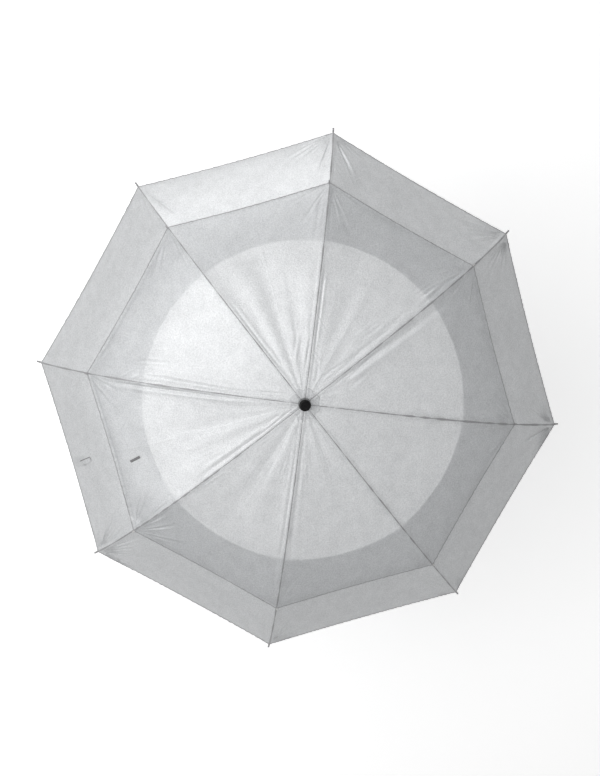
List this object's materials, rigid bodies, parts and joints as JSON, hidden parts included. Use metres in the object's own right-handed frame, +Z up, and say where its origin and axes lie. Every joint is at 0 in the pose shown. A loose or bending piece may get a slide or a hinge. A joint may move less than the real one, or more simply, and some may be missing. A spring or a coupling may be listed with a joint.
{
  "type": "golf umbrella",
  "caption": "Large manual golf umbrella with a vented double canopy, bowed ribs, stretchers and a sliding runner with a push-button catch, stored open on a straight shaft and grip.",
  "frame": {"origin": "centre of the flat foot of the grip, on the shaft's axis", "axes": "+Z up the shaft to the ferrule cap; +X along rib 1; ribs and gores are numbered clockwise seen from above"},
  "size_m": [1.3282, 1.3282, 0.9957],
  "materials": {
    "upper_canopy": "satin",
    "lower_canopy": "satin",
    "rib": "satin",
    "stretcher": "satin",
    "wire": "brushed",
    "moulding": "matt",
    "button": "satin",
    "shaft": "satin",
    "grip": "matt",
    "cap": "gloss",
    "patch": "satin",
    "strap": "satin"
  },
  "bodies": {
    "shaft_assembly": {"shaft": "shaft", "grip": "grip", "top_notch": "moulding", "notch_wire": "wire", "ferrule_cap": "cap", "crown_patch": "patch", "lock_collar": "moulding"},
    "runner": {"runner": "moulding", "runner_wire": "wire", "button_spring": "wire"},
    "runner_button": {"runner_button": "button"},
    "rib_1": {"rib_1": "rib"},
    "stretcher_1": {"stretcher_1": "stretcher"},
    "upper_gore_1_half_a": {"upper_gore_1_half_a": "upper_canopy"},
    "upper_gore_8_half_b": {"upper_gore_8_half_b": "upper_canopy"},
    "lower_gore_1_half_a": {"lower_gore_1_half_a": "lower_canopy"},
    "lower_gore_8_half_b": {"lower_gore_8_half_b": "lower_canopy"},
    "rib_2": {"rib_2": "rib"},
    "stretcher_2": {"stretcher_2": "stretcher"},
    "upper_gore_2_half_a": {"upper_gore_2_half_a": "upper_canopy"},
    "upper_gore_1_half_b": {"upper_gore_1_half_b": "upper_canopy"},
    "lower_gore_2_half_a": {"lower_gore_2_half_a": "lower_canopy"},
    "lower_gore_1_half_b": {"lower_gore_1_half_b": "lower_canopy"},
    "rib_3": {"rib_3": "rib"},
    "stretcher_3": {"stretcher_3": "stretcher"},
    "upper_gore_3_half_a": {"upper_gore_3_half_a": "upper_canopy"},
    "upper_gore_2_half_b": {"upper_gore_2_half_b": "upper_canopy"},
    "lower_gore_3_half_a": {"lower_gore_3_half_a": "lower_canopy"},
    "lower_gore_2_half_b": {"lower_gore_2_half_b": "lower_canopy"},
    "rib_4": {"rib_4": "rib"},
    "stretcher_4": {"stretcher_4": "stretcher"},
    "upper_gore_4_half_a": {"upper_gore_4_half_a": "upper_canopy"},
    "upper_gore_3_half_b": {"upper_gore_3_half_b": "upper_canopy"},
    "lower_gore_4_half_a": {"lower_gore_4_half_a": "lower_canopy"},
    "lower_gore_3_half_b": {"lower_gore_3_half_b": "lower_canopy"},
    "rib_5": {"rib_5": "rib"},
    "stretcher_5": {"stretcher_5": "stretcher"},
    "upper_gore_5_half_a": {"upper_gore_5_half_a": "upper_canopy"},
    "upper_gore_4_half_b": {"upper_gore_4_half_b": "upper_canopy"},
    "lower_gore_5_half_a": {"lower_gore_5_half_a": "lower_canopy"},
    "lower_gore_4_half_b": {"lower_gore_4_half_b": "lower_canopy"},
    "rib_6": {"rib_6": "rib"},
    "stretcher_6": {"stretcher_6": "stretcher"},
    "upper_gore_6_half_a": {"upper_gore_6_half_a": "upper_canopy"},
    "upper_gore_5_half_b": {"upper_gore_5_half_b": "upper_canopy"},
    "lower_gore_6_half_a": {"lower_gore_6_half_a": "lower_canopy", "closing_strap": "strap"},
    "lower_gore_5_half_b": {"lower_gore_5_half_b": "lower_canopy"},
    "rib_7": {"rib_7": "rib"},
    "stretcher_7": {"stretcher_7": "stretcher"},
    "upper_gore_7_half_a": {"upper_gore_7_half_a": "upper_canopy"},
    "upper_gore_6_half_b": {"upper_gore_6_half_b": "upper_canopy"},
    "lower_gore_7_half_a": {"lower_gore_7_half_a": "lower_canopy"},
    "lower_gore_6_half_b": {"lower_gore_6_half_b": "lower_canopy"},
    "rib_8": {"rib_8": "rib"},
    "stretcher_8": {"stretcher_8": "stretcher"},
    "upper_gore_8_half_a": {"upper_gore_8_half_a": "upper_canopy"},
    "upper_gore_7_half_b": {"upper_gore_7_half_b": "upper_canopy"},
    "lower_gore_8_half_a": {"lower_gore_8_half_a": "lower_canopy"},
    "lower_gore_7_half_b": {"lower_gore_7_half_b": "lower_canopy"}
  },
  "joints": [
    {"name": "runner_slide", "type": "slide", "parent": "shaft_assembly", "child": "runner", "axis": [0, 0, 1], "range_m": [-0.4083, 0]},
    {"name": "button_press", "type": "hinge", "parent": "runner", "child": "runner_button", "pos_m": [0.01386, 0.00574, 0.71229], "axis": [-0.3827, 0.9239, 0], "range_deg": [0, 5.5], "stiffness_Nm_per_rad": 0.6, "springref_deg": -2.86, "deforming": ["button_spring"]},
    {"name": "rib_1_pivot", "type": "hinge", "parent": "shaft_assembly", "child": "rib_1", "pos_m": [0.013, 0, 0.96], "axis": [0, 1, 0], "range_deg": [0, 68.02]},
    {"name": "stretcher_1_pivot", "type": "hinge", "parent": "rib_1", "child": "stretcher_1", "pos_m": [0.31157, 0, 0.92375], "axis": [0, 1, 0], "range_deg": [-113.16, 0]},
    {"name": "upper_gore_1_half_a_fold", "type": "hinge", "parent": "rib_1", "child": "upper_gore_1_half_a", "pos_m": [0.009, 0, 0.96589], "axis": [0.9762, 0, -0.217], "range_deg": [-59.6, 0], "deforming": ["upper_gore_1_half_a"]},
    {"name": "upper_gore_8_half_b_fold", "type": "hinge", "parent": "rib_1", "child": "upper_gore_8_half_b", "pos_m": [0.009, 0, 0.96589], "axis": [0.9762, 0, -0.217], "range_deg": [0, 59.6], "deforming": ["upper_gore_8_half_b"]},
    {"name": "lower_gore_1_half_a_fold", "type": "hinge", "parent": "rib_1", "child": "lower_gore_1_half_a", "pos_m": [0.378, 0, 0.91707], "axis": [0.8172, 0, -0.5763], "range_deg": [-74.6, 0], "deforming": ["lower_gore_1_half_a"]},
    {"name": "lower_gore_8_half_b_fold", "type": "hinge", "parent": "rib_1", "child": "lower_gore_8_half_b", "pos_m": [0.378, 0, 0.91707], "axis": [0.8172, 0, -0.5763], "range_deg": [0, 74.6], "deforming": ["lower_gore_8_half_b"]},
    {"name": "rib_2_pivot", "type": "hinge", "parent": "shaft_assembly", "child": "rib_2", "pos_m": [0.00919, -0.00919, 0.96], "axis": [0.7071, 0.7071, 0], "range_deg": [0, 68.02]},
    {"name": "stretcher_2_pivot", "type": "hinge", "parent": "rib_2", "child": "stretcher_2", "pos_m": [0.22031, -0.22031, 0.92375], "axis": [0.7071, 0.7071, 0], "range_deg": [-113.16, 0]},
    {"name": "upper_gore_2_half_a_fold", "type": "hinge", "parent": "rib_2", "child": "upper_gore_2_half_a", "pos_m": [0.00636, -0.00636, 0.96589], "axis": [0.6903, -0.6903, -0.217], "range_deg": [-59.6, 0], "deforming": ["upper_gore_2_half_a"]},
    {"name": "upper_gore_1_half_b_fold", "type": "hinge", "parent": "rib_2", "child": "upper_gore_1_half_b", "pos_m": [0.00636, -0.00636, 0.96589], "axis": [0.6903, -0.6903, -0.217], "range_deg": [0, 59.6], "deforming": ["upper_gore_1_half_b"]},
    {"name": "lower_gore_2_half_a_fold", "type": "hinge", "parent": "rib_2", "child": "lower_gore_2_half_a", "pos_m": [0.26729, -0.26729, 0.91707], "axis": [0.5779, -0.5779, -0.5763], "range_deg": [-74.6, 0], "deforming": ["lower_gore_2_half_a"]},
    {"name": "lower_gore_1_half_b_fold", "type": "hinge", "parent": "rib_2", "child": "lower_gore_1_half_b", "pos_m": [0.26729, -0.26729, 0.91707], "axis": [0.5779, -0.5779, -0.5763], "range_deg": [0, 74.6], "deforming": ["lower_gore_1_half_b"]},
    {"name": "rib_3_pivot", "type": "hinge", "parent": "shaft_assembly", "child": "rib_3", "pos_m": [0, -0.013, 0.96], "axis": [1, 0, 0], "range_deg": [0, 68.02]},
    {"name": "stretcher_3_pivot", "type": "hinge", "parent": "rib_3", "child": "stretcher_3", "pos_m": [0, -0.31157, 0.92375], "axis": [1, 0, 0], "range_deg": [-113.16, 0]},
    {"name": "upper_gore_3_half_a_fold", "type": "hinge", "parent": "rib_3", "child": "upper_gore_3_half_a", "pos_m": [0, -0.009, 0.96589], "axis": [0, -0.9762, -0.217], "range_deg": [-59.6, 0], "deforming": ["upper_gore_3_half_a"]},
    {"name": "upper_gore_2_half_b_fold", "type": "hinge", "parent": "rib_3", "child": "upper_gore_2_half_b", "pos_m": [0, -0.009, 0.96589], "axis": [0, -0.9762, -0.217], "range_deg": [0, 59.6], "deforming": ["upper_gore_2_half_b"]},
    {"name": "lower_gore_3_half_a_fold", "type": "hinge", "parent": "rib_3", "child": "lower_gore_3_half_a", "pos_m": [0, -0.378, 0.91707], "axis": [0, -0.8172, -0.5763], "range_deg": [-74.6, 0], "deforming": ["lower_gore_3_half_a"]},
    {"name": "lower_gore_2_half_b_fold", "type": "hinge", "parent": "rib_3", "child": "lower_gore_2_half_b", "pos_m": [0, -0.378, 0.91707], "axis": [0, -0.8172, -0.5763], "range_deg": [0, 74.6], "deforming": ["lower_gore_2_half_b"]},
    {"name": "rib_4_pivot", "type": "hinge", "parent": "shaft_assembly", "child": "rib_4", "pos_m": [-0.00919, -0.00919, 0.96], "axis": [0.7071, -0.7071, 0], "range_deg": [0, 68.02]},
    {"name": "stretcher_4_pivot", "type": "hinge", "parent": "rib_4", "child": "stretcher_4", "pos_m": [-0.22031, -0.22031, 0.92375], "axis": [0.7071, -0.7071, 0], "range_deg": [-113.16, 0]},
    {"name": "upper_gore_4_half_a_fold", "type": "hinge", "parent": "rib_4", "child": "upper_gore_4_half_a", "pos_m": [-0.00636, -0.00636, 0.96589], "axis": [-0.6903, -0.6903, -0.217], "range_deg": [-59.6, 0], "deforming": ["upper_gore_4_half_a"]},
    {"name": "upper_gore_3_half_b_fold", "type": "hinge", "parent": "rib_4", "child": "upper_gore_3_half_b", "pos_m": [-0.00636, -0.00636, 0.96589], "axis": [-0.6903, -0.6903, -0.217], "range_deg": [0, 59.6], "deforming": ["upper_gore_3_half_b"]},
    {"name": "lower_gore_4_half_a_fold", "type": "hinge", "parent": "rib_4", "child": "lower_gore_4_half_a", "pos_m": [-0.26729, -0.26729, 0.91707], "axis": [-0.5779, -0.5779, -0.5763], "range_deg": [-74.6, 0], "deforming": ["lower_gore_4_half_a"]},
    {"name": "lower_gore_3_half_b_fold", "type": "hinge", "parent": "rib_4", "child": "lower_gore_3_half_b", "pos_m": [-0.26729, -0.26729, 0.91707], "axis": [-0.5779, -0.5779, -0.5763], "range_deg": [0, 74.6], "deforming": ["lower_gore_3_half_b"]},
    {"name": "rib_5_pivot", "type": "hinge", "parent": "shaft_assembly", "child": "rib_5", "pos_m": [-0.013, 0, 0.96], "axis": [0, -1, 0], "range_deg": [0, 68.02]},
    {"name": "stretcher_5_pivot", "type": "hinge", "parent": "rib_5", "child": "stretcher_5", "pos_m": [-0.31157, 0, 0.92375], "axis": [0, -1, 0], "range_deg": [-113.16, 0]},
    {"name": "upper_gore_5_half_a_fold", "type": "hinge", "parent": "rib_5", "child": "upper_gore_5_half_a", "pos_m": [-0.009, 0, 0.96589], "axis": [-0.9762, 0, -0.217], "range_deg": [-59.6, 0], "deforming": ["upper_gore_5_half_a"]},
    {"name": "upper_gore_4_half_b_fold", "type": "hinge", "parent": "rib_5", "child": "upper_gore_4_half_b", "pos_m": [-0.009, 0, 0.96589], "axis": [-0.9762, 0, -0.217], "range_deg": [0, 59.6], "deforming": ["upper_gore_4_half_b"]},
    {"name": "lower_gore_5_half_a_fold", "type": "hinge", "parent": "rib_5", "child": "lower_gore_5_half_a", "pos_m": [-0.378, 0, 0.91707], "axis": [-0.8172, 0, -0.5763], "range_deg": [-74.6, 0], "deforming": ["lower_gore_5_half_a"]},
    {"name": "lower_gore_4_half_b_fold", "type": "hinge", "parent": "rib_5", "child": "lower_gore_4_half_b", "pos_m": [-0.378, 0, 0.91707], "axis": [-0.8172, 0, -0.5763], "range_deg": [0, 74.6], "deforming": ["lower_gore_4_half_b"]},
    {"name": "rib_6_pivot", "type": "hinge", "parent": "shaft_assembly", "child": "rib_6", "pos_m": [-0.00919, 0.00919, 0.96], "axis": [-0.7071, -0.7071, 0], "range_deg": [0, 68.02]},
    {"name": "stretcher_6_pivot", "type": "hinge", "parent": "rib_6", "child": "stretcher_6", "pos_m": [-0.22031, 0.22031, 0.92375], "axis": [-0.7071, -0.7071, 0], "range_deg": [-113.16, 0]},
    {"name": "upper_gore_6_half_a_fold", "type": "hinge", "parent": "rib_6", "child": "upper_gore_6_half_a", "pos_m": [-0.00636, 0.00636, 0.96589], "axis": [-0.6903, 0.6903, -0.217], "range_deg": [-59.6, 0], "deforming": ["upper_gore_6_half_a"]},
    {"name": "upper_gore_5_half_b_fold", "type": "hinge", "parent": "rib_6", "child": "upper_gore_5_half_b", "pos_m": [-0.00636, 0.00636, 0.96589], "axis": [-0.6903, 0.6903, -0.217], "range_deg": [0, 59.6], "deforming": ["upper_gore_5_half_b"]},
    {"name": "lower_gore_6_half_a_fold", "type": "hinge", "parent": "rib_6", "child": "lower_gore_6_half_a", "pos_m": [-0.26729, 0.26729, 0.91707], "axis": [-0.5779, 0.5779, -0.5763], "range_deg": [-74.6, 0], "deforming": ["lower_gore_6_half_a", "closing_strap"]},
    {"name": "lower_gore_5_half_b_fold", "type": "hinge", "parent": "rib_6", "child": "lower_gore_5_half_b", "pos_m": [-0.26729, 0.26729, 0.91707], "axis": [-0.5779, 0.5779, -0.5763], "range_deg": [0, 74.6], "deforming": ["lower_gore_5_half_b"]},
    {"name": "rib_7_pivot", "type": "hinge", "parent": "shaft_assembly", "child": "rib_7", "pos_m": [0, 0.013, 0.96], "axis": [-1, 0, 0], "range_deg": [0, 68.02]},
    {"name": "stretcher_7_pivot", "type": "hinge", "parent": "rib_7", "child": "stretcher_7", "pos_m": [0, 0.31157, 0.92375], "axis": [-1, 0, 0], "range_deg": [-113.16, 0]},
    {"name": "upper_gore_7_half_a_fold", "type": "hinge", "parent": "rib_7", "child": "upper_gore_7_half_a", "pos_m": [0, 0.009, 0.96589], "axis": [0, 0.9762, -0.217], "range_deg": [-59.6, 0], "deforming": ["upper_gore_7_half_a"]},
    {"name": "upper_gore_6_half_b_fold", "type": "hinge", "parent": "rib_7", "child": "upper_gore_6_half_b", "pos_m": [0, 0.009, 0.96589], "axis": [0, 0.9762, -0.217], "range_deg": [0, 59.6], "deforming": ["upper_gore_6_half_b"]},
    {"name": "lower_gore_7_half_a_fold", "type": "hinge", "parent": "rib_7", "child": "lower_gore_7_half_a", "pos_m": [0, 0.378, 0.91707], "axis": [0, 0.8172, -0.5763], "range_deg": [-74.6, 0], "deforming": ["lower_gore_7_half_a"]},
    {"name": "lower_gore_6_half_b_fold", "type": "hinge", "parent": "rib_7", "child": "lower_gore_6_half_b", "pos_m": [0, 0.378, 0.91707], "axis": [0, 0.8172, -0.5763], "range_deg": [0, 74.6], "deforming": ["lower_gore_6_half_b"]},
    {"name": "rib_8_pivot", "type": "hinge", "parent": "shaft_assembly", "child": "rib_8", "pos_m": [0.00919, 0.00919, 0.96], "axis": [-0.7071, 0.7071, 0], "range_deg": [0, 68.02]},
    {"name": "stretcher_8_pivot", "type": "hinge", "parent": "rib_8", "child": "stretcher_8", "pos_m": [0.22031, 0.22031, 0.92375], "axis": [-0.7071, 0.7071, 0], "range_deg": [-113.16, 0]},
    {"name": "upper_gore_8_half_a_fold", "type": "hinge", "parent": "rib_8", "child": "upper_gore_8_half_a", "pos_m": [0.00636, 0.00636, 0.96589], "axis": [0.6903, 0.6903, -0.217], "range_deg": [-59.6, 0], "deforming": ["upper_gore_8_half_a"]},
    {"name": "upper_gore_7_half_b_fold", "type": "hinge", "parent": "rib_8", "child": "upper_gore_7_half_b", "pos_m": [0.00636, 0.00636, 0.96589], "axis": [0.6903, 0.6903, -0.217], "range_deg": [0, 59.6], "deforming": ["upper_gore_7_half_b"]},
    {"name": "lower_gore_8_half_a_fold", "type": "hinge", "parent": "rib_8", "child": "lower_gore_8_half_a", "pos_m": [0.26729, 0.26729, 0.91707], "axis": [0.5779, 0.5779, -0.5763], "range_deg": [-74.6, 0], "deforming": ["lower_gore_8_half_a"]},
    {"name": "lower_gore_7_half_b_fold", "type": "hinge", "parent": "rib_8", "child": "lower_gore_7_half_b", "pos_m": [0.26729, 0.26729, 0.91707], "axis": [0.5779, 0.5779, -0.5763], "range_deg": [0, 74.6], "deforming": ["lower_gore_7_half_b"]}
  ],
  "couplings": [
    {"joint": "rib_1_pivot", "follows": "runner_slide", "rad_per_m": -2.9033},
    {"joint": "stretcher_1_pivot", "follows": "runner_slide", "rad_per_m": 4.8329},
    {"joint": "upper_gore_1_half_a_fold", "follows": "runner_slide", "rad_per_m": 2.5434},
    {"joint": "upper_gore_8_half_b_fold", "follows": "runner_slide", "rad_per_m": -2.5434},
    {"joint": "lower_gore_1_half_a_fold", "follows": "runner_slide", "rad_per_m": 3.1846},
    {"joint": "lower_gore_8_half_b_fold", "follows": "runner_slide", "rad_per_m": -3.1846},
    {"joint": "rib_2_pivot", "follows": "runner_slide", "rad_per_m": -2.9033},
    {"joint": "stretcher_2_pivot", "follows": "runner_slide", "rad_per_m": 4.8329},
    {"joint": "upper_gore_2_half_a_fold", "follows": "runner_slide", "rad_per_m": 2.5434},
    {"joint": "upper_gore_1_half_b_fold", "follows": "runner_slide", "rad_per_m": -2.5434},
    {"joint": "lower_gore_2_half_a_fold", "follows": "runner_slide", "rad_per_m": 3.1846},
    {"joint": "lower_gore_1_half_b_fold", "follows": "runner_slide", "rad_per_m": -3.1846},
    {"joint": "rib_3_pivot", "follows": "runner_slide", "rad_per_m": -2.9033},
    {"joint": "stretcher_3_pivot", "follows": "runner_slide", "rad_per_m": 4.8329},
    {"joint": "upper_gore_3_half_a_fold", "follows": "runner_slide", "rad_per_m": 2.5434},
    {"joint": "upper_gore_2_half_b_fold", "follows": "runner_slide", "rad_per_m": -2.5434},
    {"joint": "lower_gore_3_half_a_fold", "follows": "runner_slide", "rad_per_m": 3.1846},
    {"joint": "lower_gore_2_half_b_fold", "follows": "runner_slide", "rad_per_m": -3.1846},
    {"joint": "rib_4_pivot", "follows": "runner_slide", "rad_per_m": -2.9033},
    {"joint": "stretcher_4_pivot", "follows": "runner_slide", "rad_per_m": 4.8329},
    {"joint": "upper_gore_4_half_a_fold", "follows": "runner_slide", "rad_per_m": 2.5434},
    {"joint": "upper_gore_3_half_b_fold", "follows": "runner_slide", "rad_per_m": -2.5434},
    {"joint": "lower_gore_4_half_a_fold", "follows": "runner_slide", "rad_per_m": 3.1846},
    {"joint": "lower_gore_3_half_b_fold", "follows": "runner_slide", "rad_per_m": -3.1846},
    {"joint": "rib_5_pivot", "follows": "runner_slide", "rad_per_m": -2.9033},
    {"joint": "stretcher_5_pivot", "follows": "runner_slide", "rad_per_m": 4.8329},
    {"joint": "upper_gore_5_half_a_fold", "follows": "runner_slide", "rad_per_m": 2.5434},
    {"joint": "upper_gore_4_half_b_fold", "follows": "runner_slide", "rad_per_m": -2.5434},
    {"joint": "lower_gore_5_half_a_fold", "follows": "runner_slide", "rad_per_m": 3.1846},
    {"joint": "lower_gore_4_half_b_fold", "follows": "runner_slide", "rad_per_m": -3.1846},
    {"joint": "rib_6_pivot", "follows": "runner_slide", "rad_per_m": -2.9033},
    {"joint": "stretcher_6_pivot", "follows": "runner_slide", "rad_per_m": 4.8329},
    {"joint": "upper_gore_6_half_a_fold", "follows": "runner_slide", "rad_per_m": 2.5434},
    {"joint": "upper_gore_5_half_b_fold", "follows": "runner_slide", "rad_per_m": -2.5434},
    {"joint": "lower_gore_6_half_a_fold", "follows": "runner_slide", "rad_per_m": 3.1846},
    {"joint": "lower_gore_5_half_b_fold", "follows": "runner_slide", "rad_per_m": -3.1846},
    {"joint": "rib_7_pivot", "follows": "runner_slide", "rad_per_m": -2.9033},
    {"joint": "stretcher_7_pivot", "follows": "runner_slide", "rad_per_m": 4.8329},
    {"joint": "upper_gore_7_half_a_fold", "follows": "runner_slide", "rad_per_m": 2.5434},
    {"joint": "upper_gore_6_half_b_fold", "follows": "runner_slide", "rad_per_m": -2.5434},
    {"joint": "lower_gore_7_half_a_fold", "follows": "runner_slide", "rad_per_m": 3.1846},
    {"joint": "lower_gore_6_half_b_fold", "follows": "runner_slide", "rad_per_m": -3.1846},
    {"joint": "rib_8_pivot", "follows": "runner_slide", "rad_per_m": -2.9033},
    {"joint": "stretcher_8_pivot", "follows": "runner_slide", "rad_per_m": 4.8329},
    {"joint": "upper_gore_8_half_a_fold", "follows": "runner_slide", "rad_per_m": 2.5434},
    {"joint": "upper_gore_7_half_b_fold", "follows": "runner_slide", "rad_per_m": -2.5434},
    {"joint": "lower_gore_8_half_a_fold", "follows": "runner_slide", "rad_per_m": 3.1846},
    {"joint": "lower_gore_7_half_b_fold", "follows": "runner_slide", "rad_per_m": -3.1846}
  ]
}
